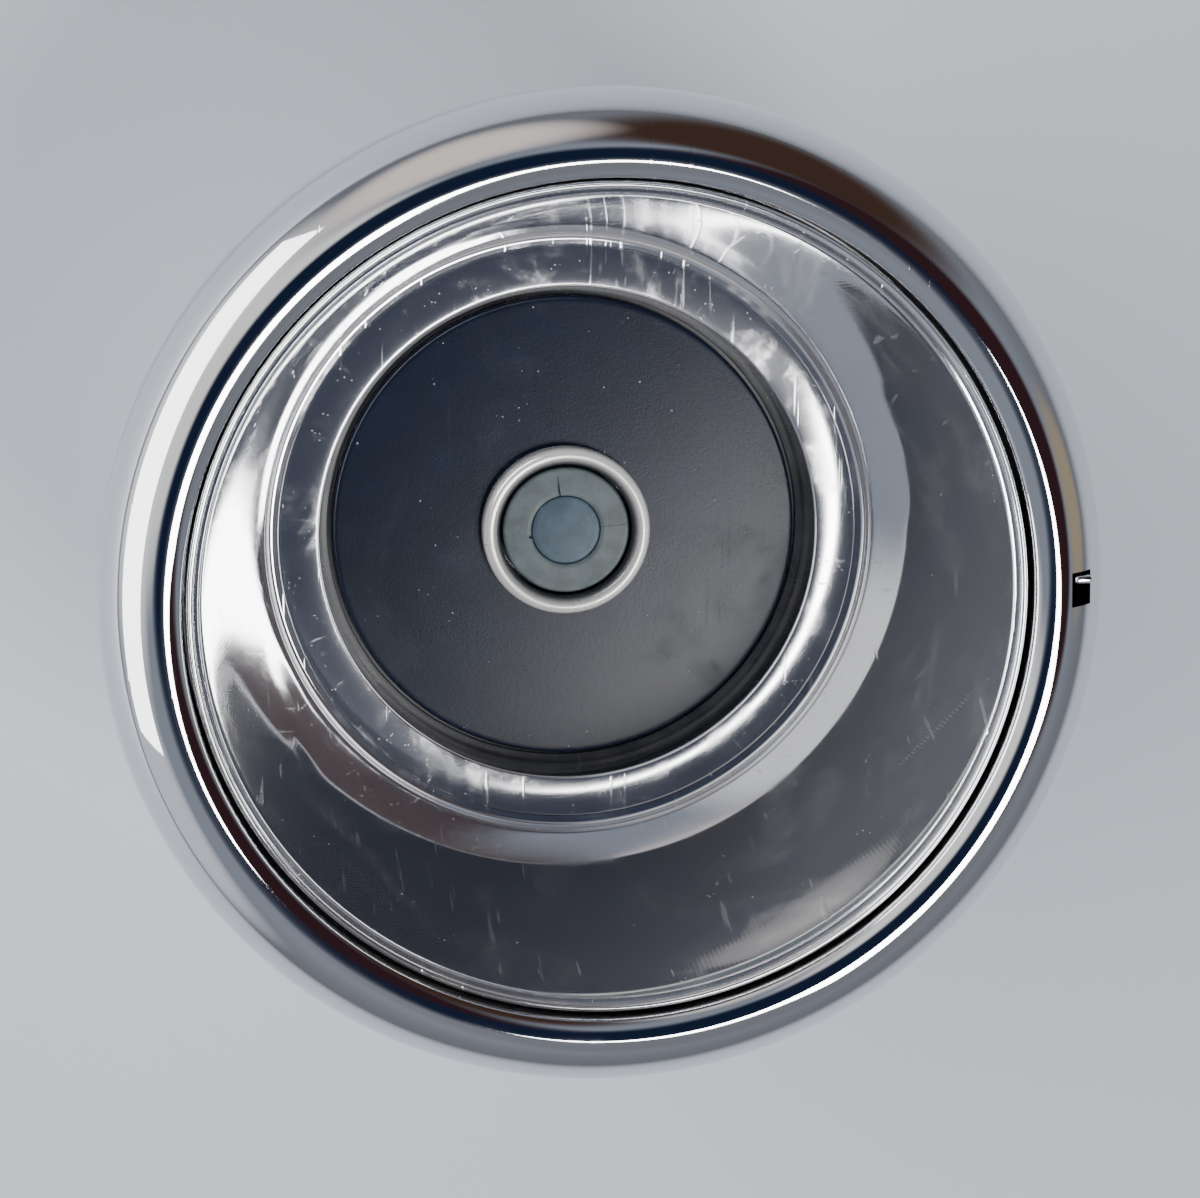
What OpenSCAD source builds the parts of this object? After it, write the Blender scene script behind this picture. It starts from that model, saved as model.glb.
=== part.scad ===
// Push-down spinning ashtray: a round chrome bowl, a lift-out mirror dish and a
// sprung floor plate that drops and turns when its centre button is pressed.
// Origin at the middle of the underside, +Z up, every round part on the Z axis.

/* [Bowl] */
// Overall height of the bowl
bowl_h = 82; // [80:0.5:90]
// Largest radius of the bowl
bowl_r = 51.3; // [51.2:0.1:52]
// Radius of the bowl's shoulder in section
shoulder_r = 8.5; // [8.3:0.1:8.7]
// Radius of the rolled edge of the mouth in section
roll_r = 3.4; // [3.3:0.1:3.5]
// Slope at which the shoulder meets the rolled edge, in degrees
roll_slope = 24.3; // [23:0.1:26]
// Slope of the rolled edge where it turns down into the mouth, in degrees
roll_turn = 40; // [38:1:42]
// Radius of the flat underside
foot_r = 35; // [30:0.5:40]
// Thickness of the bowl wall
bowl_wall = 1.1; // [0.8:0.1:1.6]
// Thickness of the pad under the bowl
pad_t = 2; // [1:0.25:3]

/* [Dish] */
// Inner radius of the dish at its lip
dish_top_r = 40.9; // [40.6:0.1:41]
// Inner radius of the dish at its foot
dish_foot_r = 34.6; // [34.2:0.1:35]
// Depth from the lip of the dish to its foot
dish_depth = 40; // [36:0.5:41]
// Thickness of the dish wall
dish_wall = 0.7; // [0.5:0.1:0.8]
// Inner radius of the seat ring at the foot of the dish
seat_in_r = 28.6; // [28.2:0.1:29]

/* [Floor plate] */
// Radius of the raised black face of the floor plate
plate_r = 27.1; // [26.5:0.1:27.6]
// Depth of the plate's face below the seat ring
plate_drop = 5.2; // [4.8:0.1:5.6]
// Thickness of the floor plate
plate_t = 1.2; // [1:0.1:1.4]
// Outer radius of the plate's flange
flange_r = 31.3; // [30.5:0.1:31.5]

/* [Button] */
// Radius of the button
button_r = 7.4; // [7.2:0.05:7.4]
// Radius of the pivot pin in the middle of the button
pin_r = 4.0; // [3.6:0.1:4.2]
// Travel of the button
travel = 9; // [7:0.5:9]
// Lead of the twisted rod, travel for one whole turn
lead = 24; // [20:1:30]

/* [Catch] */
// Radius of the catch's slot in the rim
catch_r = 47.5; // [47:0.1:48]
// Where the catch stands round the rim, in degrees
catch_at = 2.65; // [0:0.05:4]
// Travel of the catch round the rim, in degrees
catch_turn = 2.6; // [1:0.1:3]

/* [Hidden] */

// gap between pieces of two different bodies
gap = 0.3;
// gap of a turning or sliding fit, on the radius
fit = 0.05;
round_fn = 144;

// heights
lip_drop = 3;
flange_drop = 1.2;
hub_rise = 0.7;
pin_rise = 1.2;
lip_z = bowl_h - lip_drop;
foot_z = lip_z - dish_depth;
plate_z = foot_z - plate_drop;
plate_under_z = plate_z - plate_t;
flange_top_z = plate_z - flange_drop;

// section of the shoulder and of the rolled edge: centres of their arcs
shoulder_x = bowl_r - shoulder_r;
roll_x = shoulder_x + (shoulder_r - roll_r) * sin(roll_slope);
roll_z = bowl_h - roll_r;
belly_z = roll_z - (shoulder_r - roll_r) * cos(roll_slope);
mouth_r = roll_x - roll_r * sin(roll_turn);
hem_z = 74;
// inner end of the round between the foot and the belly, and radius of the pad
foot_round = 6;
pad_r = foot_r - 7;
pad_edge = 0.6;

// flange of the dish and what it rests on
shelf_t = 1.2;
gasket_t = 1;
shelf_top_z = hem_z + shelf_t;
lip_flange_z = shelf_top_z + gasket_t;
lip_flange_t = 0.8;
lip_flange_r = mouth_r - gap;
shelf_in_r = 41.6;
bead_r = 0.4;
bead_z = lip_z + 0.3;

// seat ring
seat_t = 0.8;
seat_flange_r = 36.2;
seat_flange_z = foot_z - 0.8;
seat_crown = 0.5;

// hub of the plate
hub_flange_t = 1;
hub_flange_r = 13;
tube_r = 8.6;
tube_in_r = 7.8;
hub_base_t = 1;
hub_ring_r = 9.8;
hub_ring_in_r = 7.7;
hub_ring_h = 2.4;
hub_top_z = plate_z + hub_rise;
pin_top_z = plate_z + pin_rise;
pin_flange_t = 1;
button_h = 4.5;
button_z = pin_top_z - button_h;
pin_flange_z = button_z - gap - pin_flange_t;
hub_base_z = pin_flange_z - hub_base_t;
neck_r = 2.6;
lock_t = 0.5;
nut_t = 2.1;
nut_af = 8;
nut_z = hub_base_z - lock_t - nut_t;
neck_z = nut_z - 0.4;

// drive nut, rod and bridge
strip_w = 4.6;
strip_t = 1.8;
slot_play = 0.2;
drive_t = 2;
drive_z = nut_z - travel - 0.6 - drive_t;
drive_r = 7.2;
bridge_t = 1;
bridge_z = drive_z - bridge_t;
bridge_hole_r = 3.2;
rod_end_z = bridge_z + 0.2;
leg_in_r = flange_r + 0.5;
leg_t = 1;
leg_w = 8;
arms = 3;
rivet_r = 34.7;
screw_r = 5.2;
shank_r = 0.8;
spring_r = 10.4;
spring_wire = 0.55;
spring_turns = 5.5;
washer_t = 0.4;
spring_top_z = plate_under_z - hub_flange_t - washer_t;

// catch in the rim
slot_w = 2.4;
tab_w = slot_w - 2 * gap;
tab_t = 0.8;
tab_top_z = bowl_h - 0.35;
slot_back = 1.45;
slot_front = slot_back - tab_t - 2 * gap - catch_r * sin(catch_turn);
runner_z = 73.2;
runner_t = 1.8;
runner_out_r = 48.4;
runner_in_r = 44.4;

// an arc of points from angle a to angle b round (x, y)
function arc(x, y, rx, ry, a, b, n) =
    [for (i = [0 : n]) [x + rx * cos(a + (b - a) * i / n), y + ry * sin(a + (b - a) * i / n)]];

// a ring of rectangular section
module ring(r_in, r_out, z, h) {
    translate([0, 0, z]) difference() {
        cylinder(r = r_out, h = h, $fn = round_fn);
        translate([0, 0, -1]) cylinder(r = r_in, h = h + 2, $fn = round_fn);
    }
}

// section of the bowl: foot, belly, rounded rim and the hem inside the mouth
function bowl_outside(t) = concat(
    [[0, pad_t + t], [foot_r - foot_round - t * 0.3, pad_t + t]],
    arc(foot_r - foot_round, belly_z, bowl_r - foot_r + foot_round - t, belly_z - pad_t - t, -84, 0, 26),
    arc(shoulder_x, belly_z, shoulder_r - t, shoulder_r - t, 8, 90 - roll_slope, 9),
    arc(roll_x, roll_z, roll_r - t, roll_r - t, 98 - roll_slope,
        90 + asin((roll_x - mouth_r - t) / (roll_r - t)), 12));

module outer_bowl() {
    hem = [[mouth_r, hem_z], [mouth_r + bowl_wall, hem_z]];
    back = bowl_outside(bowl_wall);
    n = len(back);
    color("gainsboro") difference() {
        rotate_extrude($fn = round_fn)
            polygon(concat(bowl_outside(0), hem, [for (i = [n - 1 : -1 : 0]) back[i]]));
        rotate([0, 0, catch_at]) translate([catch_r - slot_w / 2, slot_front, bowl_h - 6])
            cube([slot_w, slot_back - slot_front, 8]);
    }
}

// shelf behind the rim that the catch slides on
module catch_guide() {
    color("darkgray") rotate([0, 0, catch_at - 9]) rotate_extrude(angle = 16, $fn = round_fn)
        polygon([[mouth_r + bowl_wall, runner_z - gap - 1], [runner_out_r, runner_z - gap - 1],
            [runner_out_r, runner_z - gap], [mouth_r + bowl_wall, runner_z - gap]]);
}

// catch: a short curved runner under the rim with a thumb tab up through the slot
module catch_tab() {
    tab_y = slot_back - gap - tab_t;
    color("silver") rotate([0, 0, catch_at]) {
        rotate([0, 0, -3.4]) rotate_extrude(angle = 7, $fn = round_fn)
            translate([runner_in_r, runner_z]) square([runner_out_r - runner_in_r, runner_t]);
        translate([catch_r - tab_w / 2, tab_y, runner_z + 0.5])
            cube([tab_w, tab_t, tab_top_z - tab_t / 2 - runner_z - 0.5]);
        translate([catch_r - tab_w / 2, tab_y + tab_t / 2, tab_top_z - tab_t / 2])
            rotate([0, 90, 0]) cylinder(r = tab_t / 2, h = tab_w, $fn = 32);
    }
}

module support_ring() {
    color("silver") ring(shelf_in_r, mouth_r, hem_z, shelf_t);
}

module base_pad() {
    color("dimgray") rotate_extrude($fn = round_fn)
        polygon([[0, 0], [pad_r - pad_edge, 0], [pad_r, pad_edge], [pad_r, pad_t], [0, pad_t]]);
}

module rim_gasket() {
    color("dimgray") ring(shelf_in_r, mouth_r - 0.1, shelf_top_z, gasket_t);
}

// tapered mirror wall, with a beaded lip, a flange under it and a turned-in foot
module dish_liner() {
    slope = (dish_top_r - dish_foot_r) / dish_depth;
    flange_in = dish_top_r - slope * (lip_z - lip_flange_z) + 0.2;
    bead_x = lip_flange_r - bead_r;
    color("whitesmoke") rotate_extrude($fn = round_fn) polygon(concat(
        [[dish_foot_r - 1.2, foot_z], [dish_foot_r - 0.5, foot_z + 0.15],
         [dish_foot_r + 0.06, foot_z + 0.7]],
        [[dish_top_r, lip_z - 0.3], [dish_top_r + 0.2, lip_z], [bead_x - bead_r, lip_z]],
        arc(bead_x, bead_z, bead_r, bead_r, 180, -90, 12),
        [[lip_flange_r - 0.3, lip_flange_z + lip_flange_t + 0.4],
         [lip_flange_r, lip_flange_z + lip_flange_t], [lip_flange_r, lip_flange_z],
         [flange_in + dish_wall - 0.2, lip_flange_z],
         [dish_foot_r + dish_wall, foot_z], [dish_foot_r + 0.4, foot_z - dish_wall],
         [dish_foot_r - 1.2, foot_z - dish_wall]]));
}

// rounded ledge between the foot of the dish and the plate, with a skirt down to the seal
module seat_ring() {
    in_r = seat_in_r;
    mid_r = (dish_foot_r - 1.3 + in_r) / 2;
    half = (dish_foot_r - 1.3 - in_r) / 2;
    color("lightgray") rotate_extrude($fn = round_fn) polygon(concat(
        [[in_r, flange_top_z + gap], [in_r, foot_z - 0.1]],
        arc(mid_r, foot_z - 0.1, half, seat_crown, 172, 0, 16),
        [[dish_foot_r - 1.3, seat_flange_z + 0.1],
         [seat_flange_r, seat_flange_z + 0.1], [seat_flange_r, seat_flange_z + 0.1 - seat_t],
         [dish_foot_r - 2.1, seat_flange_z + 0.1 - seat_t], [dish_foot_r - 2.1, foot_z - 0.5]],
        arc(mid_r, foot_z - 0.6, half - 0.8, seat_crown - 0.4, 0, 180, 12),
        [[in_r + 0.8, flange_top_z + gap]]));
}

// three-legged bridge under the plate that carries the drive nut
module bridge() {
    foot_under_z = seat_flange_z + 0.1 - seat_t - leg_t;
    color("lightslategray") difference() {
        union() {
            translate([0, 0, bridge_z]) cylinder(r = 13.5, h = bridge_t, $fn = round_fn);
            for (i = [0 : arms - 1]) rotate([0, 0, 90 + i * 360 / arms]) {
                translate([8, -leg_w / 2, bridge_z]) cube([leg_in_r + leg_t - 8, leg_w, bridge_t]);
                translate([leg_in_r, -leg_w / 2, bridge_z])
                    cube([leg_t, leg_w, foot_under_z + leg_t - bridge_z]);
                translate([leg_in_r, -leg_w / 2, foot_under_z])
                    cube([seat_flange_r - 0.3 - leg_in_r, leg_w, leg_t]);
            }
        }
        translate([0, 0, bridge_z - 1]) cylinder(r = bridge_hole_r, h = bridge_t + 2, $fn = 48);
        for (i = [0 : arms - 1]) rotate([0, 0, 90 + i * 360 / arms])
            translate([rivet_r, 0, foot_under_z - 1]) cylinder(r = shank_r, h = leg_t + 2, $fn = 32);
        for (a = [0, 180]) rotate([0, 0, a])
            translate([screw_r, 0, bridge_z - 1])
                cylinder(r = shank_r + fit, h = bridge_t + 2, $fn = 32);
    }
}

module bridge_rivets() {
    foot_under_z = seat_flange_z + 0.1 - seat_t - leg_t;
    color("silver") for (i = [0 : arms - 1]) rotate([0, 0, 90 + i * 360 / arms])
        translate([rivet_r, 0, 0]) {
            translate([0, 0, foot_under_z - 0.7]) cylinder(r1 = 1.0, r2 = 1.4, h = 0.7, $fn = 32);
            translate([0, 0, foot_under_z]) cylinder(r = shank_r - fit, h = leg_t, $fn = 32);
        }
}

// flat strip twisted to the lead, from z to z + h; play widens it all round
module twisted_strip(z, h, play) {
    translate([0, 0, z]) rotate([0, 0, -360 * z / lead])
        linear_extrude(height = h, twist = 360 * h / lead, slices = ceil(h * 3))
            square([strip_w + 2 * play, strip_t + 2 * play], center = true);
}

module twist_nut() {
    color("darkkhaki") difference() {
        translate([0, 0, drive_z]) cylinder(r = drive_r, h = drive_t, $fn = round_fn);
        twisted_strip(drive_z - 0.5, drive_t + 1, slot_play);
        for (a = [0, 180]) rotate([0, 0, a])
            translate([screw_r, 0, drive_z - 1]) cylinder(r = shank_r, h = drive_t + 2, $fn = 32);
    }
}

module nut_screws() {
    color("silver") for (a = [0, 180]) rotate([0, 0, a]) translate([screw_r, 0, 0]) {
        translate([0, 0, bridge_z])
            cylinder(r = shank_r - fit, h = bridge_t + drive_t - slot_play, $fn = 32);
        difference() {
            translate([0, 0, bridge_z - 1]) cylinder(r = 1.5, h = 1, $fn = 32);
            translate([-0.2, -2, bridge_z - 1.5]) cube([0.4, 4, 0.9]);
        }
    }
}

// coil spring between the bridge and the thrust washer, closed at both ends
module return_spring() {
    low = bridge_z + bridge_t + spring_wire;
    high = spring_top_z - spring_wire;
    steps = 30 * spring_turns;
    sides = 8;
    function rise(u) = u < 0.14 ? 0.04 * u / 0.14 : u > 0.86 ? 1 - 0.04 * (1 - u) / 0.14
        : 0.04 + 0.92 * (u - 0.14) / 0.72;
    points = [for (i = [0 : steps]) let (a = i * 360 * spring_turns / steps,
            z = low + (high - low) * rise(i / steps))
        for (j = [0 : sides - 1]) let (b = j * 360 / sides, r = spring_r + spring_wire * cos(b))
            [r * cos(a), r * sin(a), z + spring_wire * sin(b)]];
    walls = [for (i = [0 : steps - 1]) for (j = [0 : sides - 1]) let (k = (j + 1) % sides)
        [i * sides + j, (i + 1) * sides + j, (i + 1) * sides + k, i * sides + k]];
    start = [for (j = [0 : sides - 1]) j];
    end = [for (j = [sides - 1 : -1 : 0]) steps * sides + j];
    color("gray") polyhedron(points, concat(walls, [start, end]));
}

module thrust_washer() {
    color("goldenrod") ring(tube_r + fit, hub_flange_r - 0.4, spring_top_z, washer_t);
}

// pressed black plate: raised face, stepped flange for the seal, hole for the hub
module floor_plate() {
    flange_z = flange_top_z - 0.6;
    color("#24262b") rotate_extrude($fn = round_fn) polygon([[tube_r + 0.02, plate_under_z],
        [plate_r - plate_t, plate_under_z], [plate_r - plate_t, flange_z - plate_t + 0.2],
        [flange_r, flange_z - plate_t + 0.2], [flange_r, flange_z],
        [plate_r, flange_z], [plate_r, plate_z - 0.3], [plate_r - 0.3, plate_z],
        [tube_r + 0.02, plate_z]]);
}

module plate_seal() {
    color("#303033") rotate_extrude($fn = round_fn) polygon([[plate_r + 0.05, flange_top_z - 0.6],
        [flange_r - 0.1, flange_top_z - 0.6], [flange_r - 0.3, flange_top_z],
        [plate_r + 0.35, flange_top_z], [plate_r + 0.05, flange_top_z - 0.25]]);
}

// bright rounded collar round the button
module hub_ring() {
    mid_r = (hub_ring_r + hub_ring_in_r) / 2;
    half = (hub_ring_r - hub_ring_in_r) / 2;
    color("white") rotate_extrude($fn = round_fn) polygon(concat(
        [[hub_ring_r, plate_z]],
        arc(mid_r, plate_z + hub_ring_h - 1.05, half, 1.05, 0, 180, 16),
        [[hub_ring_in_r, hub_top_z], [tube_r, hub_top_z], [tube_r, plate_z]]));
}

// cup under the plate that joins plate, collar and rod
module plate_hub() {
    color("darkgray") rotate_extrude($fn = round_fn) polygon([[neck_r + 0.02, hub_base_z],
        [tube_r, hub_base_z], [tube_r, plate_under_z - hub_flange_t],
        [hub_flange_r, plate_under_z - hub_flange_t], [hub_flange_r, plate_under_z],
        [tube_r, plate_under_z], [tube_r, hub_top_z], [tube_in_r, hub_top_z],
        [tube_in_r, hub_base_z + hub_base_t], [neck_r + 0.02, hub_base_z + hub_base_t]]);
}

module lock_washer() {
    color("silver") difference() {
        ring(neck_r + fit, 4.4, hub_base_z - lock_t, lock_t);
        translate([0, -0.3, hub_base_z - lock_t - 1]) cube([6, 0.6, lock_t + 2]);
    }
}

module hub_nut() {
    color("silver") translate([0, 0, nut_z]) difference() {
        intersection() {
            cylinder(r = nut_af / 2 / cos(30), h = nut_t, $fn = 6);
            cylinder(r1 = nut_af / 2 + 0.5, r2 = nut_af / 2 + 0.9, h = nut_t, $fn = 48);
        }
        translate([0, 0, -1]) cylinder(r = neck_r + 0.02, h = nut_t + 2, $fn = 48);
    }
}

// the pin that the button turns on, its flange in the hub and its plain neck
module pivot_pin() {
    color("slategray") rotate_extrude($fn = round_fn) polygon([[0, neck_z], [neck_r - 0.3, neck_z],
        [neck_r, neck_z + 0.3], [neck_r, pin_flange_z], [tube_in_r - 0.1, pin_flange_z],
        [tube_in_r - 0.1, pin_flange_z + pin_flange_t], [pin_r, pin_flange_z + pin_flange_t],
        [pin_r, pin_top_z - 0.3], [pin_r - 0.3, pin_top_z], [0, pin_top_z]]);
}

module twist_rod() {
    color("silver") twisted_strip(rod_end_z, neck_z - rod_end_z, 0);
}

// grey plastic button that stays still under the finger while the pin turns in it
module button() {
    color("gray") difference() {
        rotate_extrude($fn = round_fn) polygon([[pin_r + fit, button_z],
            [button_r, button_z], [button_r, pin_top_z - 0.35], [button_r - 0.35, pin_top_z],
            [pin_r + fit, pin_top_z]]);
        rotate([0, 0, 101]) translate([pin_r - 1, -0.1, pin_top_z - 1]) cube([2.6, 0.2, 3]);
    }
}

outer_bowl();
support_ring();
base_pad();
rim_gasket();
dish_liner();
seat_ring();
bridge();
bridge_rivets();
twist_nut();
nut_screws();
return_spring();
thrust_washer();
floor_plate();
plate_seal();
hub_ring();
plate_hub();
lock_washer();
hub_nut();
pivot_pin();
twist_rod();
button();
catch_guide();
catch_tab();
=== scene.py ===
"""Push-down spinning ashtray: chrome bowl, mirror dish, black floor plate and centre button.

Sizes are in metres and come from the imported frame, so the pieces follow the CAD model.
"""
import math

import bpy
from bpy.props import FloatProperty, FloatVectorProperty, IntProperty, PointerProperty
from mathutils import Matrix, Vector


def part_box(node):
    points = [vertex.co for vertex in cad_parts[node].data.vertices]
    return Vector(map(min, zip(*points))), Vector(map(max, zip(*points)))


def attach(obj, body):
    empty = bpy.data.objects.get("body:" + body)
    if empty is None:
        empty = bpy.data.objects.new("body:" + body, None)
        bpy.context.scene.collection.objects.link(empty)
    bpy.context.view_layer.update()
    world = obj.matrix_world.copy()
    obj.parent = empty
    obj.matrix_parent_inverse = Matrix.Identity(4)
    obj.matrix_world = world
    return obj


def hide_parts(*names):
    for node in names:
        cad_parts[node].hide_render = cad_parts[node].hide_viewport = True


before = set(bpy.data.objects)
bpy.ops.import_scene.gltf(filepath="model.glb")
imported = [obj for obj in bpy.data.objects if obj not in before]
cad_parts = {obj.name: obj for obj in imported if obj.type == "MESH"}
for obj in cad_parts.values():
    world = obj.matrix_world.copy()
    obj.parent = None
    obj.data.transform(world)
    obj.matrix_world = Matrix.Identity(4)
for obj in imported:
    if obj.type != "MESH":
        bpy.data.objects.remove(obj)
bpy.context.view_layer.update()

bl_info = {
    "name": "Push-down ashtray",
    "version": (1, 0, 0),
    "blender": (4, 5, 0),
    "location": "View3D > Sidebar > Ashtray",
    "description": "Builds a chrome ashtray with a spinning floor plate",
    "category": "Object",
}

MM = 0.001
FULL_TURN = 2 * math.pi


# ---------------------------------------------------------------- sizes from the frame

def top_of(node):
    """Height of a node's highest point."""
    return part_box(node)[1][2]


def foot_of(node):
    """Height of a node's lowest point."""
    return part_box(node)[0][2]


def radius_of(node):
    """Largest radius of a round node."""
    low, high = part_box(node)
    return (high[1] - low[1]) / 2


# ---------------------------------------------------------------- properties

class AshtraySizes(bpy.types.PropertyGroup):
    """Sizes of the visible metalwork."""

    wall: FloatProperty(
        name="Wall", description="Thickness of the bowl's wall",
        default=1.1 * MM, unit="LENGTH")
    shoulder: FloatProperty(
        name="Shoulder", description="Radius of the bowl's shoulder in section",
        default=8.5 * MM, unit="LENGTH")
    roll: FloatProperty(
        name="Rolled edge", description="Radius of the bowl's rolled edge in section",
        default=3.4 * MM, unit="LENGTH")
    roll_slope: FloatProperty(
        name="Slope", description="Slope where the shoulder meets the rolled edge",
        default=math.radians(24.3), unit="ROTATION")
    mouth_slope: FloatProperty(
        name="Mouth slope", description="Slope where the rolled edge turns down",
        default=math.radians(40), unit="ROTATION")
    dish_foot: FloatProperty(
        name="Dish foot", description="Inner radius of the dish at its foot",
        default=34.6 * MM, unit="LENGTH")
    dish_top: FloatProperty(
        name="Dish top", description="Inner radius of the dish at its lip",
        default=40.9 * MM, unit="LENGTH")
    dish_wall: FloatProperty(
        name="Dish wall", description="Thickness of the dish",
        default=0.7 * MM, unit="LENGTH")
    seat_inner: FloatProperty(
        name="Seat", description="Inner radius of the seat ring",
        default=28.6 * MM, unit="LENGTH")
    face: FloatProperty(
        name="Plate face", description="Radius of the raised black face",
        default=27.1 * MM, unit="LENGTH")
    pin: FloatProperty(
        name="Pin", description="Radius of the pivot pin",
        default=4 * MM, unit="LENGTH")
    slot_x: FloatProperty(
        name="Slot", description="Distance of the catch's slot from the axis",
        default=47.5 * MM, unit="LENGTH")
    slot_w: FloatProperty(
        name="Slot width", description="Width of the slot",
        default=2.4 * MM, unit="LENGTH")
    slot_front: FloatProperty(
        name="Slot front", description="Front end of the slot",
        default=-2.1 * MM, unit="LENGTH")
    slot_back: FloatProperty(
        name="Slot back", description="Back end of the slot",
        default=1.45 * MM, unit="LENGTH")
    catch_at: FloatProperty(
        name="Catch", description="Where the catch stands round the rim",
        default=math.radians(2.65), unit="ROTATION")
    around: IntProperty(
        name="Steps", description="Steps round a large turned piece",
        default=512, min=64, max=720)


class AshtrayColours(bpy.types.PropertyGroup):
    """Colours of the finishes."""

    chrome: FloatVectorProperty(
        name="Chrome", description="Plated metal", subtype="COLOR",
        default=(0.67, 0.675, 0.70))
    black: FloatVectorProperty(
        name="Plate", description="Black lacquer of the floor plate", subtype="COLOR",
        default=(0.005, 0.010, 0.028))
    collar: FloatVectorProperty(
        name="Collar", description="Bright collar round the button", subtype="COLOR",
        default=(0.95, 0.94, 0.91))
    button: FloatVectorProperty(
        name="Button", description="Grey plastic of the button", subtype="COLOR",
        default=(0.105, 0.135, 0.145))
    pin: FloatVectorProperty(
        name="Pin", description="Blue-grey end of the pin", subtype="COLOR",
        default=(0.06, 0.10, 0.14))
    rubber: FloatVectorProperty(
        name="Rubber", description="Seals and pad", subtype="COLOR",
        default=(0.03, 0.031, 0.035))


def sizes():
    return bpy.context.scene.ashtray_sizes


def colours():
    return bpy.context.scene.ashtray_colours


# ---------------------------------------------------------------- modelling helpers

def clear_selection():
    if bpy.context.object and bpy.context.object.mode != "OBJECT":
        bpy.ops.object.mode_set(mode="OBJECT")
    bpy.ops.object.select_all(action="DESELECT")


def arc(x, z, rx, rz, start, end, steps):
    """Points along an arc round (x, z), angles in degrees."""
    points = []
    for i in range(steps + 1):
        a = math.radians(start + (end - start) * i / steps)
        points.append((x + rx * math.cos(a), z + rz * math.sin(a)))
    return points


def line(start, end, steps):
    """Points on a straight line, ends included."""
    return [tuple(a + (b - a) * i / steps for a, b in zip(start, end)) for i in range(steps + 1)]


def start_vertex(x, z):
    """A new mesh object with one vertex at radius x and height z, in edit mode."""
    clear_selection()
    bpy.ops.mesh.primitive_plane_add(size=MM, location=(0, 0, 0))
    bpy.ops.object.mode_set(mode="EDIT")
    bpy.ops.mesh.select_all(action="SELECT")
    bpy.ops.mesh.merge(type="CENTER")
    bpy.ops.transform.translate(value=(x, 0, z))


def extrude_to(step):
    bpy.ops.mesh.extrude_region_move(TRANSFORM_OT_translate={"value": step})


def finish_piece(name, smooth=35):
    """Names the active object, puts its place in its mesh and shades it."""
    bpy.ops.object.mode_set(mode="OBJECT")
    piece = bpy.context.object
    piece.name = name
    piece.data.name = name
    bpy.ops.object.transform_apply(location=True, rotation=True, scale=True)
    bpy.ops.object.shade_smooth_by_angle(angle=math.radians(smooth))
    return piece


def turned(name, outline, steps, smooth=35):
    """A piece turned on the Z axis from a closed outline of (radius, height) points."""
    start_vertex(*outline[0])
    for before, after in zip(outline, outline[1:]):
        extrude_to((after[0] - before[0], 0, after[1] - before[1]))
    bpy.ops.mesh.select_all(action="SELECT")
    bpy.ops.object.mode_set(mode="OBJECT")
    mesh = bpy.context.object.data
    for v in mesh.vertices:
        v.select = v.index in (0, len(outline) - 1)
    on_axis = outline[0][0] < 1e-7 and outline[-1][0] < 1e-7
    bpy.ops.object.mode_set(mode="EDIT")
    if not on_axis:
        bpy.ops.mesh.select_mode(type="VERT")
        bpy.ops.mesh.edge_face_add()
    bpy.ops.mesh.select_all(action="SELECT")
    bpy.ops.mesh.spin(steps=steps, angle=FULL_TURN, center=(0, 0, 0), axis=(0, 0, 1))
    bpy.ops.mesh.select_all(action="SELECT")
    bpy.ops.mesh.remove_doubles(threshold=1e-6)
    bpy.ops.mesh.normals_make_consistent(inside=False)
    return finish_piece(name, smooth)


def dent(piece, angle, height, radius, push, size):
    """Pushes the wall of a turned piece in or out round one point, falling off smoothly."""
    clear_selection()
    bpy.context.view_layer.objects.active = piece
    piece.select_set(True)
    a = math.radians(angle)
    aim = Vector((radius * math.cos(a), radius * math.sin(a), height))
    nearest = min(piece.data.vertices, key=lambda v: (v.co - aim).length)
    for polygon in piece.data.polygons:
        polygon.select = False
    for edge in piece.data.edges:
        edge.select = False
    for v in piece.data.vertices:
        v.select = v.index == nearest.index
    bpy.ops.object.mode_set(mode="EDIT")
    bpy.ops.mesh.select_mode(type="VERT")
    bpy.ops.transform.translate(
        value=(push * math.cos(a), push * math.sin(a), 0), use_proportional_edit=True,
        proportional_edit_falloff="SMOOTH", proportional_size=size)
    bpy.ops.object.mode_set(mode="OBJECT")


def cut_away(piece, low, high, turn=0.0):
    """Cuts a box, turned about the Z axis, out of a piece."""
    clear_selection()
    middle = [(a + b) / 2 for a, b in zip(low, high)]
    bpy.ops.mesh.primitive_cube_add(size=1, location=middle)
    tool = bpy.context.object
    tool.scale = [b - a for a, b in zip(low, high)]
    bpy.ops.object.transform_apply(location=True, rotation=True, scale=True)
    tool.rotation_euler = (0, 0, turn)
    bpy.ops.object.transform_apply(location=True, rotation=True, scale=True)
    clear_selection()
    bpy.context.view_layer.objects.active = piece
    piece.select_set(True)
    cut = piece.modifiers.new("cut", "BOOLEAN")
    cut.operation = "DIFFERENCE"
    cut.solver = "EXACT"
    cut.object = tool
    bpy.ops.object.modifier_apply(modifier=cut.name)
    bpy.data.objects.remove(tool, do_unlink=True)


# ---------------------------------------------------------------- node helpers

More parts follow.
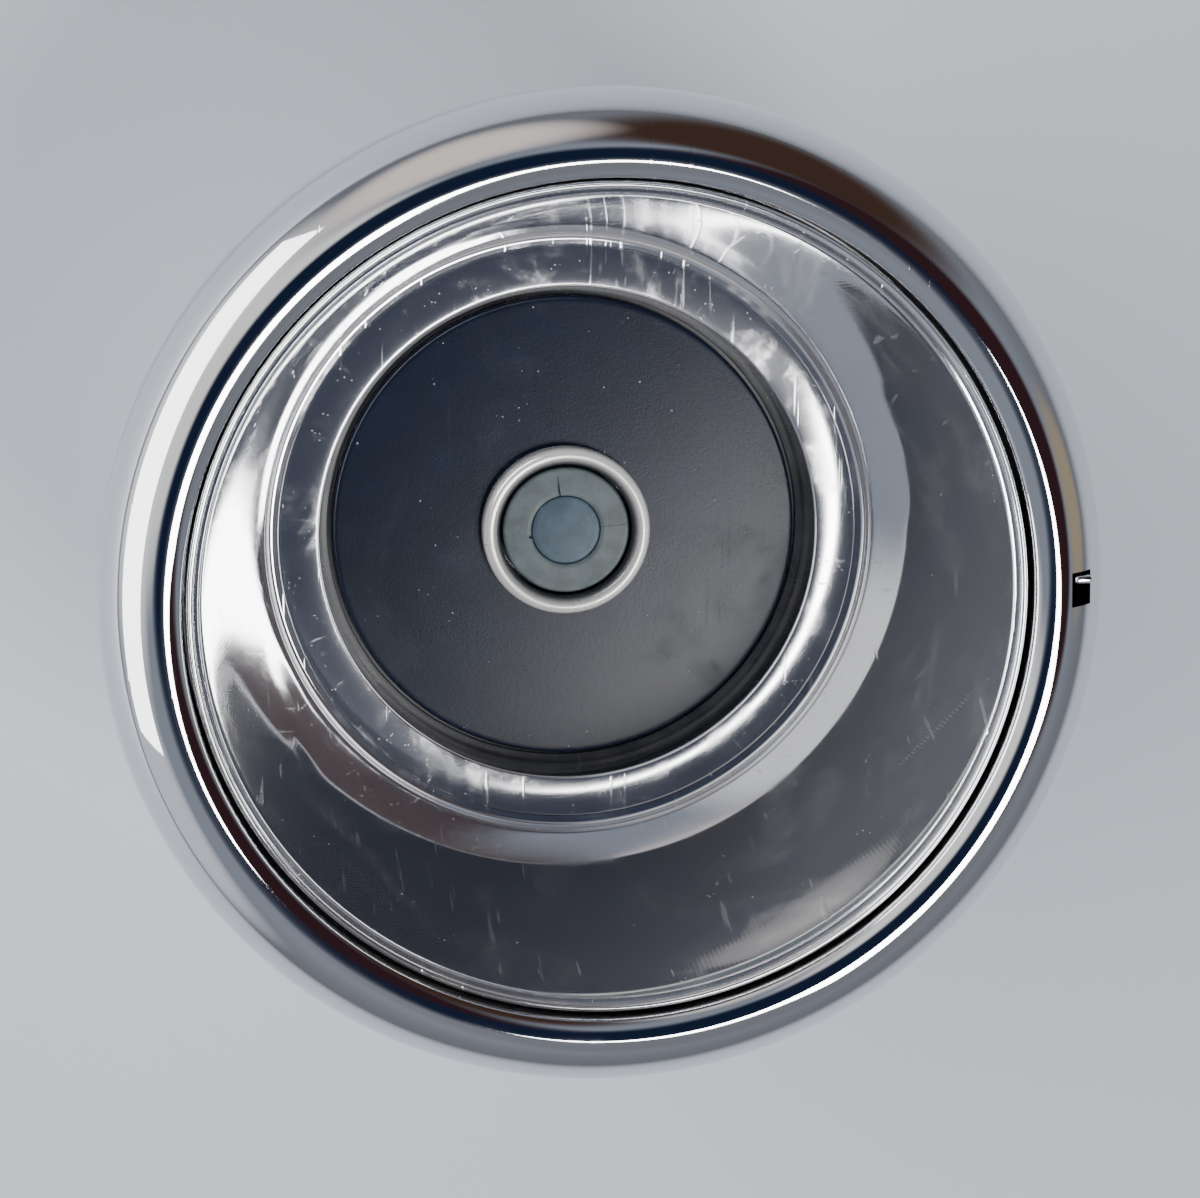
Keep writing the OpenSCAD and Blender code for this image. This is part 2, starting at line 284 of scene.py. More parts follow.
class Nodes:
    """A small wrapper for wiring shader nodes."""

    def __init__(self, tree):
        self.tree = tree
        self.column = 0

    def add(self, kind, **settings):
        node = self.tree.nodes.new(kind)
        self.column += 1
        node.location = (self.column * 180 - 1600, -(self.column % 5) * 160)
        for key, value in settings.items():
            setattr(node, key, value)
        return node

    def join(self, source, target):
        self.tree.links.new(source, target)

    def put(self, socket, value):
        """Sets a socket to a plain value, or wires it to another socket."""
        if isinstance(value, bpy.types.NodeSocket):
            self.join(value, socket)
        else:
            socket.default_value = value

    def maths(self, operation, first, second=0.0, clamp=False):
        node = self.add("ShaderNodeMath", operation=operation, use_clamp=clamp)
        self.put(node.inputs[0], first)
        self.put(node.inputs[1], second)
        return node.outputs[0]

    def noise(self, vector, scale, detail=3.0, roughness=0.5, distortion=0.0):
        node = self.add("ShaderNodeTexNoise")
        self.join(vector, node.inputs["Vector"])
        self.put(node.inputs["Scale"], scale)
        self.put(node.inputs["Detail"], detail)
        self.put(node.inputs["Roughness"], roughness)
        self.put(node.inputs["Distortion"], distortion)
        return node.outputs["Fac"]

    def cells(self, vector, scale):
        node = self.add("ShaderNodeTexVoronoi")
        self.join(vector, node.inputs["Vector"])
        self.put(node.inputs["Scale"], scale)
        return node.outputs["Distance"]

    def between(self, value, low, high, out_low=0.0, out_high=1.0):
        node = self.add("ShaderNodeMapRange", interpolation_type="SMOOTHSTEP")
        self.put(node.inputs["Value"], value)
        self.put(node.inputs["From Min"], low)
        self.put(node.inputs["From Max"], high)
        self.put(node.inputs["To Min"], out_low)
        self.put(node.inputs["To Max"], out_high)
        return node.outputs["Result"]

    def blend(self, amount, first, second):
        node = self.add("ShaderNodeMix", data_type="RGBA")
        self.put(node.inputs["Factor"], amount)
        self.put(node.inputs["A"], first)
        self.put(node.inputs["B"], second)
        return node.outputs["Result"]

    def combine(self, x, y, z):
        node = self.add("ShaderNodeCombineXYZ")
        for socket, value in zip(node.inputs, (x, y, z)):
            self.put(socket, value)
        return node.outputs["Vector"]

    def bump(self, height, distance, strength=1.0, normal=None):
        node = self.add("ShaderNodeBump")
        self.put(node.inputs["Height"], height)
        self.put(node.inputs["Distance"], distance)
        self.put(node.inputs["Strength"], strength)
        if normal is not None:
            self.join(normal, node.inputs["Normal"])
        return node.outputs["Normal"]


def rgba(colour, factor=1.0):
    return (*[c * factor for c in colour[:3]], 1.0)


def new_group(name, inputs, outputs):
    """A shader node group with float inputs and named outputs, and its two end nodes."""
    tree = bpy.data.node_groups.new(name, "ShaderNodeTree")
    for label, value in inputs:
        socket = tree.interface.new_socket(label, in_out="INPUT", socket_type="NodeSocketFloat")
        socket.default_value = value
    for label, kind in outputs:
        tree.interface.new_socket(label, in_out="OUTPUT", socket_type=kind)
    work = Nodes(tree)
    return tree, work, work.add("NodeGroupInput"), work.add("NodeGroupOutput")


def object_place(work):
    """Object coordinates, in metres."""
    return work.add("ShaderNodeTexCoord").outputs["Object"]


def polar(work, place):
    """Radius in metres, angle in radians and height of a point round the Z axis."""
    split = work.add("ShaderNodeSeparateXYZ")
    work.join(place, split.inputs["Vector"])
    x, y, z = split.outputs
    square = work.maths("ADD", work.maths("MULTIPLY", x, x), work.maths("MULTIPLY", y, y))
    return work.maths("SQRT", square), work.maths("ARCTAN2", y, x), z


# ---------------------------------------------------------------- shared effects

def group_handling():
    """Fingerprints, faint smears and hairline scratches on polished metal."""
    tree, work, given, out = new_group(
        "handling",
        [("Scale", 1.0), ("Smears", 0.5), ("Scratches", 0.5)],
        [("Roughness", "NodeSocketFloat"), ("Height", "NodeSocketFloat")])
    place = object_place(work)
    cloud = work.noise(place, work.maths("MULTIPLY", given.outputs["Scale"], 55.0), 4, 0.6, 0.8)
    smear = work.between(cloud, 0.47, 0.72)
    fine = work.noise(place, work.maths("MULTIPLY", given.outputs["Scale"], 420.0), 2)
    smear = work.maths("MULTIPLY", smear, work.between(fine, 0.3, 0.7, 0.5, 1.0))
    lines = 0.0
    for turn, squeeze in ((0.4, 60.0), (1.9, 45.0), (2.7, 75.0)):
        mapping = work.add("ShaderNodeMapping")
        work.join(place, mapping.inputs["Vector"])
        mapping.inputs["Rotation"].default_value = (turn * 0.3, turn * 0.2, turn)
        mapping.inputs["Scale"].default_value = (squeeze * 20, squeeze, squeeze * 1.5)
        streak = work.noise(mapping.outputs["Vector"], 1.0, 2, 0.5)
        lines = work.maths("ADD", lines, work.between(streak, 0.69, 0.75))
    scratch = work.maths("MULTIPLY", lines, given.outputs["Scratches"], clamp=True)
    smear = work.maths("MULTIPLY", smear, given.outputs["Smears"])
    work.join(work.maths("ADD", smear, work.maths("MULTIPLY", scratch, 0.6)),
              out.inputs["Roughness"])
    work.join(work.maths("MULTIPLY", scratch, -1.0), out.inputs["Height"])
    return tree


def group_spun_wobble():
    """The long, low waves left in sheet metal spun over a former."""
    tree, work, given, out = new_group(
        "spun_wobble", [("Waves", 1.0), ("Rings", 0.3)], [("Height", "NodeSocketFloat")])
    place = object_place(work)
    radius, angle, height = polar(work, place)
    broad = work.noise(place, 38.0, 1, 0.4)
    along = work.maths("ADD", radius, work.maths("MULTIPLY", height, 0.7))
    rings = work.noise(work.combine(along, 0.0, 0.0), 900.0, 2, 0.5)
    work.join(
        work.maths("ADD", work.maths("MULTIPLY", broad, given.outputs["Waves"]),
                   work.maths("MULTIPLY", work.maths("MULTIPLY", rings, 0.02),
                              given.outputs["Rings"])),
        out.inputs["Height"])
    return tree


def group_dust():
    """Loose pale specks: a mask that is 1 on a speck."""
    tree, work, given, out = new_group(
        "dust", [("Scale", 1.0), ("Amount", 0.5)], [("Mask", "NodeSocketFloat")])
    place = object_place(work)
    wobble = work.noise(place, 900.0, 2)
    total = 0.0
    for scale, size in ((1500.0, 0.17), (620.0, 0.09)):
        cell = work.cells(place, work.maths("MULTIPLY", given.outputs["Scale"], scale))
        bent = work.maths("ADD", cell, work.maths("MULTIPLY", wobble, 0.14))
        speck = work.between(bent, size, size + 0.05, 1.0, 0.0)
        patch = work.noise(place, scale * 0.21, 2)
        cutoff = work.maths("SUBTRACT", 0.78, work.maths("MULTIPLY", given.outputs["Amount"], 0.3))
        keep = work.between(patch, cutoff, work.maths("ADD", cutoff, 0.03))
        total = work.maths("ADD", total, work.maths("MULTIPLY", speck, keep))
    work.join(work.maths("MINIMUM", total, 1.0), out.inputs["Mask"])
    return tree


def group_radial_residue():
    """Streaks that run out from the axis: dried ash and tar drawn by wiping and air."""
    tree, work, given, out = new_group(
        "radial_residue", [("Streaks", 90.0), ("Amount", 0.5)], [("Mask", "NodeSocketFloat")])
    place = object_place(work)
    radius, angle, height = polar(work, place)
    around = work.combine(
        work.maths("MULTIPLY", work.maths("COSINE", angle), given.outputs["Streaks"]),
        work.maths("MULTIPLY", work.maths("SINE", angle), given.outputs["Streaks"]),
        work.maths("MULTIPLY", radius, 260.0))
    streak = work.noise(around, 1.0, 3, 0.65)
    patch = work.noise(place, 60.0, 2)
    cutoff = work.maths("SUBTRACT", 0.74, work.maths("MULTIPLY", given.outputs["Amount"], 0.24))
    mask = work.between(streak, cutoff, work.maths("ADD", cutoff, 0.16))
    work.join(work.maths("MULTIPLY", mask, work.between(patch, 0.35, 0.62)), out.inputs["Mask"])
    return tree


def group_fine_grain():
    """Grain of satin lacquer, moulded plastic and rubber: a height and a tone."""
    tree, work, given, out = new_group(
        "fine_grain", [("Scale", 1.0)],
        [("Height", "NodeSocketFloat"), ("Tone", "NodeSocketFloat")])
    place = object_place(work)
    fine = work.noise(place, work.maths("MULTIPLY", given.outputs["Scale"], 3800.0), 2, 0.6)
    broad = work.noise(place, work.maths("MULTIPLY", given.outputs["Scale"], 160.0), 3, 0.55)
    work.join(fine, out.inputs["Height"])
    work.join(broad, out.inputs["Tone"])
    return tree


EFFECTS = {
    "handling": group_handling,
    "spun_wobble": group_spun_wobble,
    "dust": group_dust,
    "radial_residue": group_radial_residue,
    "fine_grain": group_fine_grain,
}


def effect(work, name, **values):
    """Places a shared effect in a material with its own values."""
    tree = bpy.data.node_groups.get(name) or EFFECTS[name]()
    node = work.add("ShaderNodeGroup", node_tree=tree)
    for key, value in values.items():
        node.inputs[key].default_value = value
    return node.outputs


# ---------------------------------------------------------------- materials

def blank_material(name):
    """A material with only a Principled shader and its output."""
    found = bpy.data.materials.get(name)
    if found:
        return found, None, None
    material = bpy.data.materials.new(name)
    material.use_nodes = True
    tree = material.node_tree
    tree.nodes.clear()
    work = Nodes(tree)
    shader = work.add("ShaderNodeBsdfPrincipled")
    end = work.add("ShaderNodeOutputMaterial")
    work.join(shader.outputs["BSDF"], end.inputs["Surface"])
    return material, work, shader


def material_polished_chrome():
    """Bright plating of the bowl: clear reflections, soft smears and long low waves."""
    material, work, shader = blank_material("polished_chrome")
    if work is None:
        return material
    touch = effect(work, "handling", Scale=1.0, Smears=0.5, Scratches=0.35)
    wobble = effect(work, "spun_wobble", Waves=1.0, Rings=0.08)["Height"]
    shader.inputs["Metallic"].default_value = 1.0
    tone = rgba(colours().chrome)
    work.join(work.blend(work.maths("MULTIPLY", touch["Roughness"], 0.22), tone, rgba(tone, 0.82)),
              shader.inputs["Base Color"])
    work.join(work.maths("ADD", work.maths("MULTIPLY", touch["Roughness"], 0.13), 0.035),
              shader.inputs["Roughness"])
    waves = work.bump(wobble, 0.00022)
    work.join(work.bump(touch["Height"], 0.000004, 1.0, waves), shader.inputs["Normal"])
    return material


def material_dish_mirror():
    """Mirror wall of the dish, with fine wiping marks and a dusty film."""
    material, work, shader = blank_material("dish_mirror")
    if work is None:
        return material
    touch = effect(work, "handling", Scale=1.6, Smears=0.45, Scratches=1.0)
    wobble = effect(work, "spun_wobble", Waves=0.7, Rings=0.02)["Height"]
    dust = effect(work, "dust", Scale=1.0, Amount=0.42)["Mask"]
    tone = rgba(colours().chrome, 1.15)
    work.join(work.blend(dust, tone, (0.55, 0.55, 0.56, 1)), shader.inputs["Base Color"])
    veil = work.maths("ADD", work.maths("MULTIPLY", touch["Roughness"], 0.14), 0.10)
    dull = work.maths("ADD", veil, work.maths("MULTIPLY", dust, 0.8), clamp=True)
    work.join(work.maths("SUBTRACT", 1.0, dull), shader.inputs["Metallic"])
    rough = work.maths("ADD", work.maths("MULTIPLY", touch["Roughness"], 0.16), 0.045)
    work.join(work.maths("ADD", rough, work.maths("MULTIPLY", dust, 0.5)),
              shader.inputs["Roughness"])
    waves = work.bump(wobble, 0.00018)
    work.join(work.bump(touch["Height"], 0.000005, 1.0, waves), shader.inputs["Normal"])
    return material


def material_hazy_chrome():
    """The ledge: worn plating, hazed and streaked outwards by ash and tar."""
    material, work, shader = blank_material("ledge_plating")
    if work is None:
        return material
    touch = effect(work, "handling", Scale=2.2, Smears=0.9, Scratches=0.9)
    streak = effect(work, "radial_residue", Streaks=34.0, Amount=0.5)["Mask"]
    fine = effect(work, "radial_residue", Streaks=120.0, Amount=0.3)["Mask"]
    dust = effect(work, "dust", Scale=1.2, Amount=0.7)["Mask"]
    both = work.maths("ADD", work.maths("MULTIPLY", streak, 0.7),
                      work.maths("MULTIPLY", fine, 0.45), clamp=True)
    film = work.maths("MAXIMUM", work.maths("MULTIPLY", both, 0.75), dust)
    tone = rgba(colours().chrome, 1.25)
    dirty = work.blend(film, tone, (0.60, 0.60, 0.59, 1))
    work.join(dirty, shader.inputs["Base Color"])
    work.join(work.maths("SUBTRACT", 0.95, work.maths("MULTIPLY", film, 0.6)),
              shader.inputs["Metallic"])
    rough = work.maths("ADD", work.maths("MULTIPLY", touch["Roughness"], 0.14), 0.09)
    work.join(work.maths("ADD", rough, work.maths("MULTIPLY", film, 0.3)),
              shader.inputs["Roughness"])
    wobble = effect(work, "spun_wobble", Waves=0.5, Rings=0.04)["Height"]
    waves = work.bump(wobble, 0.0002)
    work.join(work.bump(work.maths("ADD", touch["Height"], film), 0.000003, 1.0, waves),
              shader.inputs["Normal"])
    return material


def material_black_lacquer():
    """Satin black of the floor plate: blue-black, lightly dusted and rubbed."""
    material, work, shader = blank_material("black_lacquer")
    if work is None:
        return material
    grain = effect(work, "fine_grain", Scale=1.0)
    dust = effect(work, "dust", Scale=0.8, Amount=0.5)["Mask"]
    touch = effect(work, "handling", Scale=1.3, Smears=0.8, Scratches=0.4)
    tone = rgba(colours().black)
    film = work.between(grain["Tone"], 0.35, 0.75, 0.0, 0.6)
    worn = work.blend(film, tone, rgba(tone, 1.6))
    shader.inputs["Specular IOR Level"].default_value = 0.27
    work.join(work.blend(dust, worn, (0.42, 0.43, 0.46, 1)), shader.inputs["Base Color"])
    rough = work.maths("ADD", work.maths("MULTIPLY", touch["Roughness"], 0.1), 0.24)
    work.join(work.maths("ADD", rough, work.maths("MULTIPLY", dust, 0.3)),
              shader.inputs["Roughness"])
    base = work.bump(grain["Height"], 0.000008)
    work.join(work.bump(dust, 0.00003, 1.0, base), shader.inputs["Normal"])
    return material


def material_collar():
    """Bright turned collar: fine lathe rings under a soft polish, with painted shade darkening its
    inner side.
    """
    material, work, shader = blank_material("bright_collar")
    if work is None:
        return material
    touch = effect(work, "handling", Scale=4.0, Smears=0.7, Scratches=0.7)
    rings = effect(work, "spun_wobble", Waves=0.2, Rings=2.0)["Height"]
    shader.inputs["Metallic"].default_value = 0.3
    tone = rgba(colours().collar)
    rubbed = work.blend(touch["Roughness"], tone, rgba(tone, 0.8))
    reach = polar(work, object_place(work))[0]
    # painted shade: the colour turns dark down the collar's inner slope, from 9.1 mm in to 7.8 mm
    painted_shade = (0.05, 0.055, 0.065, 1)
    work.join(work.blend(work.between(reach, 7.8 * MM, 9.1 * MM), painted_shade, rubbed),
              shader.inputs["Base Color"])
    work.join(work.maths("ADD", work.maths("MULTIPLY", touch["Roughness"], 0.2), 0.24),
              shader.inputs["Roughness"])
    work.join(work.bump(rings, 0.00012), shader.inputs["Normal"])
    return material


def material_plastic(name, tone, streaks):
    """Aged grey plastic with a mottled tone and pale marks that run out from the middle."""
    material, work, shader = blank_material(name)
    if work is None:
        return material
    grain = effect(work, "fine_grain", Scale=2.5)
    marks = effect(work, "radial_residue", Streaks=streaks, Amount=0.4)["Mask"]
    dust = effect(work, "dust", Scale=2.2, Amount=0.5)["Mask"]
    touch = effect(work, "handling", Scale=5.0, Smears=0.8, Scratches=0.8)
    shader.inputs["Specular IOR Level"].default_value = 0.3
    mottled = work.blend(work.between(grain["Tone"], 0.3, 0.7), rgba(tone, 0.82), rgba(tone, 1.2))
    marked = work.blend(work.maths("MULTIPLY", marks, 0.35), mottled, rgba(tone, 1.9))
    work.join(work.blend(dust, marked, (0.5, 0.5, 0.5, 1)), shader.inputs["Base Color"])
    work.join(work.maths("ADD", work.maths("MULTIPLY", touch["Roughness"], 0.16), 0.36),
              shader.inputs["Roughness"])
    both = work.maths("ADD", grain["Height"], touch["Height"])
    work.join(work.bump(both, 0.00001), shader.inputs["Normal"])
    return material


def material_rubber(name, ash):
    """Matt rubber; ash is how much grey-white ash sits on it in radial flecks."""
    material, work, shader = blank_material(name)
    if work is None:
        return material
    grain = effect(work, "fine_grain", Scale=1.6)
    tone = rgba(colours().rubber, 1.0 + ash)
    body = work.blend(work.between(grain["Tone"], 0.3, 0.7), tone, rgba(tone, 1.7))
    flecks = effect(work, "radial_residue", Streaks=120.0, Amount=ash * 0.5)["Mask"]
    dust = effect(work, "dust", Scale=1.6, Amount=ash)["Mask"]
    mask = work.maths("MAXIMUM", work.maths("MULTIPLY", flecks, 0.8), dust)
    work.join(work.blend(mask, body, (0.42, 0.41, 0.39, 1)), shader.inputs["Base Color"])
    work.join(work.between(grain["Tone"], 0.2, 0.8, 0.62 - 0.3 * ash, 0.82 - 0.35 * ash),
              shader.inputs["Roughness"])
    base = work.bump(grain["Height"], 0.00002)
    work.join(work.bump(mask, 0.00003, 1.0, base), shader.inputs["Normal"])
    return material


def material_plain_metal(name, tone, rough):
    """Unplated working metal: brushed grain, dull patches and darker oily areas."""
    material, work, shader = blank_material(name)
    if work is None:
        return material
    grain = effect(work, "fine_grain", Scale=1.0)
    touch = effect(work, "handling", Scale=2.0, Smears=1.0, Scratches=1.0)
    shader.inputs["Metallic"].default_value = 1.0
    patch = work.between(grain["Tone"], 0.35, 0.7)
    work.join(work.blend(patch, rgba(tone, 0.8), rgba(tone)), shader.inputs["Base Color"])
    work.join(work.maths("ADD", work.maths("MULTIPLY", touch["Roughness"], 0.2), rough),
              shader.inputs["Roughness"])
    both = work.maths("ADD", grain["Height"], touch["Height"])
    work.join(work.bump(both, 0.00001), shader.inputs["Normal"])
    return material


def dress(piece, material):
    """Gives a piece its material in every slot."""
    piece.data.materials.clear()
    piece.data.materials.append(material)


# ---------------------------------------------------------------- pieces

def bowl_section(inset):
    """The bowl from the axis at its foot up over the rim, moved in by inset."""
    s = sizes()
    outer = radius_of("outer_bowl")
    floor = foot_of("outer_bowl")
    foot = 29 * MM
    shoulder_x = outer - s.shoulder
    roll_x = shoulder_x + (s.shoulder - s.roll) * math.sin(s.roll_slope)
    roll_z = top_of("outer_bowl") - s.roll
    belly = roll_z - (s.shoulder - s.roll) * math.cos(s.roll_slope)
    mouth = roll_x - s.roll * math.sin(s.mouth_slope)
    top_angle = 90 - math.degrees(s.roll_slope)
    last_angle = 90 + math.degrees(math.asin((roll_x - mouth - inset) / (s.roll - inset)))
    points = [(0, floor + inset), (foot * 0.5, floor + inset)]
    points += arc(foot, belly, outer - foot - inset, belly - floor - inset, -86, -2, 38)
    points += arc(shoulder_x, belly, s.shoulder - inset, s.shoulder - inset, 0, top_angle, 26)
    points += arc(roll_x, roll_z, s.roll - inset, s.roll - inset, top_angle + 5, last_angle, 18)
    return points


class ASHTRAY_OT_bowl(bpy.types.Operator):
    """Spins the chrome bowl with its rolled mouth and cuts the catch's slot"""
    bl_idname = "ashtray.bowl"
    bl_label = "Bowl"

    def execute(self, context):
        s = sizes()
        outside = bowl_section(0)
        inside = bowl_section(s.wall)
        hem = foot_of("support_ring")
        edge, brink = outside[-1]
        nose = 0.28 * MM
        # a small rounded nose, so that the brink throws a soft highlight
        outside[-1] = (edge + nose * 0.75, brink + nose * 0.6)
        outside += [(edge + nose * 0.3, brink + nose * 0.18),
                    (edge + nose * 0.06, brink - nose * 0.3), (edge, brink - nose)]
        turn_in = line((edge, brink - 2 * nose), (edge, hem), 4)
        turn_in += line((edge + s.wall, hem), (edge + s.wall, inside[-1][1] - nose), 4)
        piece = turned("bowl_shell", outside + turn_in + inside[::-1], s.around, smooth=60)
        top = top_of("outer_bowl")
        cut_away(piece, (s.slot_x - s.slot_w / 2, s.slot_front, top - 6 * MM),
                 (s.slot_x + s.slot_w / 2, s.slot_back, top + 2 * MM), s.catch_at)
        dress(piece, material_polished_chrome())
        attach(piece, "bowl")
        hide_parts("outer_bowl")
        return {"FINISHED"}


# height of the bead over the dish's lip, steps up its wall, and how much the wall bows
# outwards (1 is straight)
BEAD_RISE = 0.7 * MM
WALL_STEPS = 30
WALL_CURVE = 1.12

# angle in degrees, height above the foot, push outwards and reach, in millimetres
DENTS = (
    (204, 7.0, 0.10, 6.0),
    (214, 12.0, -0.07, 5.0),
    (12, 9.0, 0.09, 6.0),
    (24, 15.0, -0.06, 6.0),
    (62, 10.0, 0.05, 8.0),
    (118, 20.0, -0.05, 9.0),
)


class ASHTRAY_OT_dish(bpy.types.Operator):
    """Spins the mirror dish with its beaded lip and knocks in its old dents"""
    bl_idname = "ashtray.dish"
    bl_label = "Dish"

    def execute(self, context):
        s = sizes()
        low = foot_of("dish_liner")
        foot = low + s.dish_wall
        bead = 0.4 * MM
        lip = top_of("dish_liner") - BEAD_RISE
        rim = radius_of("dish_liner")
        bead_x = rim - bead
        section = [(s.dish_foot - 1.2 * MM, foot), (s.dish_foot - 0.7 * MM, foot + 0.05 * MM)]
        section += arc(s.dish_foot - 0.72 * MM, foot + 0.85 * MM, 0.8 * MM, 0.8 * MM, -80, -12, 8)
        wall_foot = foot + MM
        for i in range(WALL_STEPS + 1):
            rise = i / WALL_STEPS
            radius = s.dish_top - (s.dish_top - s.dish_foot) * (1 - rise) ** WALL_CURVE
            section.append((radius, wall_foot + (lip - 0.3 * MM - wall_foot) * rise))
        section += [(s.dish_top + 0.05 * MM, lip - 0.1 * MM), (s.dish_top + 0.15 * MM, lip),
                    (s.dish_top + 0.26 * MM, lip - 0.1 * MM),
                    (s.dish_top + 0.36 * MM, lip - 0.5 * MM), (bead_x - bead, lip - 0.5 * MM)]
        section += arc(bead_x, lip + BEAD_RISE - bead, bead, bead, 180, 0, 18)
        section += [(rim - 0.06 * MM, lip - 0.4 * MM), (rim - 0.3 * MM, lip - 1.6 * MM),
                    (rim, lip - 2.0 * MM), (rim, lip - 2.8 * MM),
                    (s.dish_top + 0.45 * MM, lip - 2.8 * MM)]
        for i in range(WALL_STEPS + 1):
            drop = i / WALL_STEPS
            radius = s.dish_top - (s.dish_top - s.dish_foot) * drop ** WALL_CURVE
            height = lip - 3.2 * MM + (wall_foot - lip + 2 * MM) * drop
            section.append((radius + s.dish_wall, height))
        section += [(s.dish_foot + 0.4 * MM, low), (s.dish_foot - 1.2 * MM, low)]
        piece = turned("mirror_dish", section, s.around, smooth=50)
        for angle, height, push, size in DENTS:
            dent(piece, angle, foot + height * MM, s.dish_foot + 1.1 * MM * height / 6,
                 push * MM, size * MM)
        dress(piece, material_dish_mirror())
        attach(piece, "insert")
        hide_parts("dish_liner")
        return {"FINISHED"}


class ASHTRAY_OT_ledge(bpy.types.Operator):
    """Turns the gently crowned seat ring with its rounded inner edge and skirt"""
    bl_idname = "ashtray.ledge"
    bl_label = "Ledge"

    def execute(self, context):
        s = sizes()
        foot = foot_of("dish_liner") + s.dish_wall
        low = foot_of("seat_ring")
        inner = s.seat_inner
        outer = s.dish_foot - 1.3 * MM
        middle, half = (inner + 0.1 * MM + outer) / 2, (outer - inner - 0.1 * MM) / 2
        crown = 0.12 * MM
        section = [(inner, low)] + line((inner, low + 0.6 * MM), (inner, foot - 0.45 * MM), 6)
        section += arc(inner + 0.3 * MM, foot - 0.3 * MM, 0.3 * MM, 0.3 * MM, 180, 110, 7)
        section += arc(middle, foot - 0.02 * MM, half, crown, 160, 6, 34)
        flange = radius_of("seat_ring")
        section += [(outer, foot - 0.72 * MM), (flange, foot - 0.72 * MM),
                    (flange, foot - 1.5 * MM), (outer - 0.8 * MM, foot - 1.5 * MM),
                    (outer - 0.8 * MM, foot - 0.5 * MM)]
        section += arc(middle, foot - 0.6 * MM, half - 0.8 * MM, 0.1 * MM, 0, 180, 12)
        section += [(inner + 0.8 * MM, foot - 0.8 * MM), (inner + 0.8 * MM, low)]
        piece = turned("seat_ledge", section, s.around, smooth=45)
        dress(piece, material_hazy_chrome())
        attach(piece, "insert")
        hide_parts("seat_ring")
        return {"FINISHED"}


class ASHTRAY_OT_plate(bpy.types.Operator):
    """Presses the black floor plate and lays the rubber seal on its flange"""
    bl_idname = "ashtray.plate"
    bl_label = "Floor plate"

    def execute(self, context):
        s = sizes()
        top, low = top_of("floor_plate"), foot_of("floor_plate")
        flange = radius_of("floor_plate")
        seal_top, seal_low = top_of("plate_seal"), foot_of("plate_seal")
        hole = 8.62 * MM
        section = [(hole, top - 1.2 * MM), (s.face - 1.2 * MM, top - 1.2 * MM),
                   (s.face - 1.2 * MM, low), (flange - 0.15 * MM, low)]
        section += arc(flange - 0.3 * MM, (low + seal_low) / 2, 0.3 * MM, (seal_low - low) / 2,
                       -60, 60, 5)
        section += [(flange - 0.2 * MM, seal_low), (s.face, seal_low)]
        section += arc(s.face - 0.4 * MM, top - 0.4 * MM, 0.4 * MM, 0.4 * MM, 0, 90, 6)
        section += line((s.face - 0.8 * MM, top), (hole, top), 12)
        plate = turned("black_plate", section, s.around, smooth=40)
        dress(plate, material_black_lacquer())
        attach(plate, "spinner")
        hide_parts("floor_plate")

        edge = radius_of("plate_seal")
        section = [(s.face + 0.06 * MM, seal_low), (edge, seal_low)]
        section += arc(edge - 0.25 * MM, seal_top - 0.25 * MM, 0.25 * MM, 0.25 * MM, 0, 90, 5)
        section += line((edge - 0.8 * MM, seal_top), (s.face + 0.6 * MM, seal_top - 0.02 * MM), 4)
        # a thin gap between the seal and the raised face
        section += [(s.face + 0.5 * MM, seal_top - 0.08 * MM),
                    (s.face + 0.45 * MM, seal_low + 0.05 * MM),
                    (s.face + 0.06 * MM, seal_low + 0.05 * MM)]
        seal = turned("plate_seal_ring", section, s.around, smooth=40)
        dress(seal, material_rubber("ashy_rubber", 1.0))
        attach(seal, "spinner")
        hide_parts("plate_seal")
        return {"FINISHED"}


class ASHTRAY_OT_collar(bpy.types.Operator):
    """Turns the bright collar that stands round the button"""
    bl_idname = "ashtray.collar"
    bl_label = "Collar"

    def execute(self, context):
        low, top = foot_of("hub_ring"), top_of("hub_ring")
        outer = radius_of("hub_ring")
        inner, bore = 7.72 * MM, 8.6 * MM
        seat = top - 1.7 * MM
        section = [(outer - 0.05 * MM, low)] + line((outer, low + 0.15 * MM),
                                                    (outer, top - 1.0 * MM), 2)
        section += arc(outer - 0.85 * MM, top - 0.95 * MM, 0.85 * MM, 0.95 * MM, 6, 96, 14)
        section += arc(outer - 0.95 * MM, top - 1.35 * MM, outer - inner - 0.95 * MM, 1.35 * MM,
                       100, 172, 14)
        section += [(inner, seat), (bore, seat), (bore, low)]
        piece = turned("bright_collar_ring", section, 192, smooth=40)
        dress(piece, material_collar())
        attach(piece, "spinner")
        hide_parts("hub_ring")
        return {"FINISHED"}


# angle in degrees, length outwards from the pin and width, in millimetres
CRACKS = (
    (99.4, 2.3, 0.07),
    (100.6, 1.5, 0.11),
    (101.6, 0.8, 0.14),
    (190.0, 0.35, 0.45),
    (5.0, 3.0, 0.035),
)


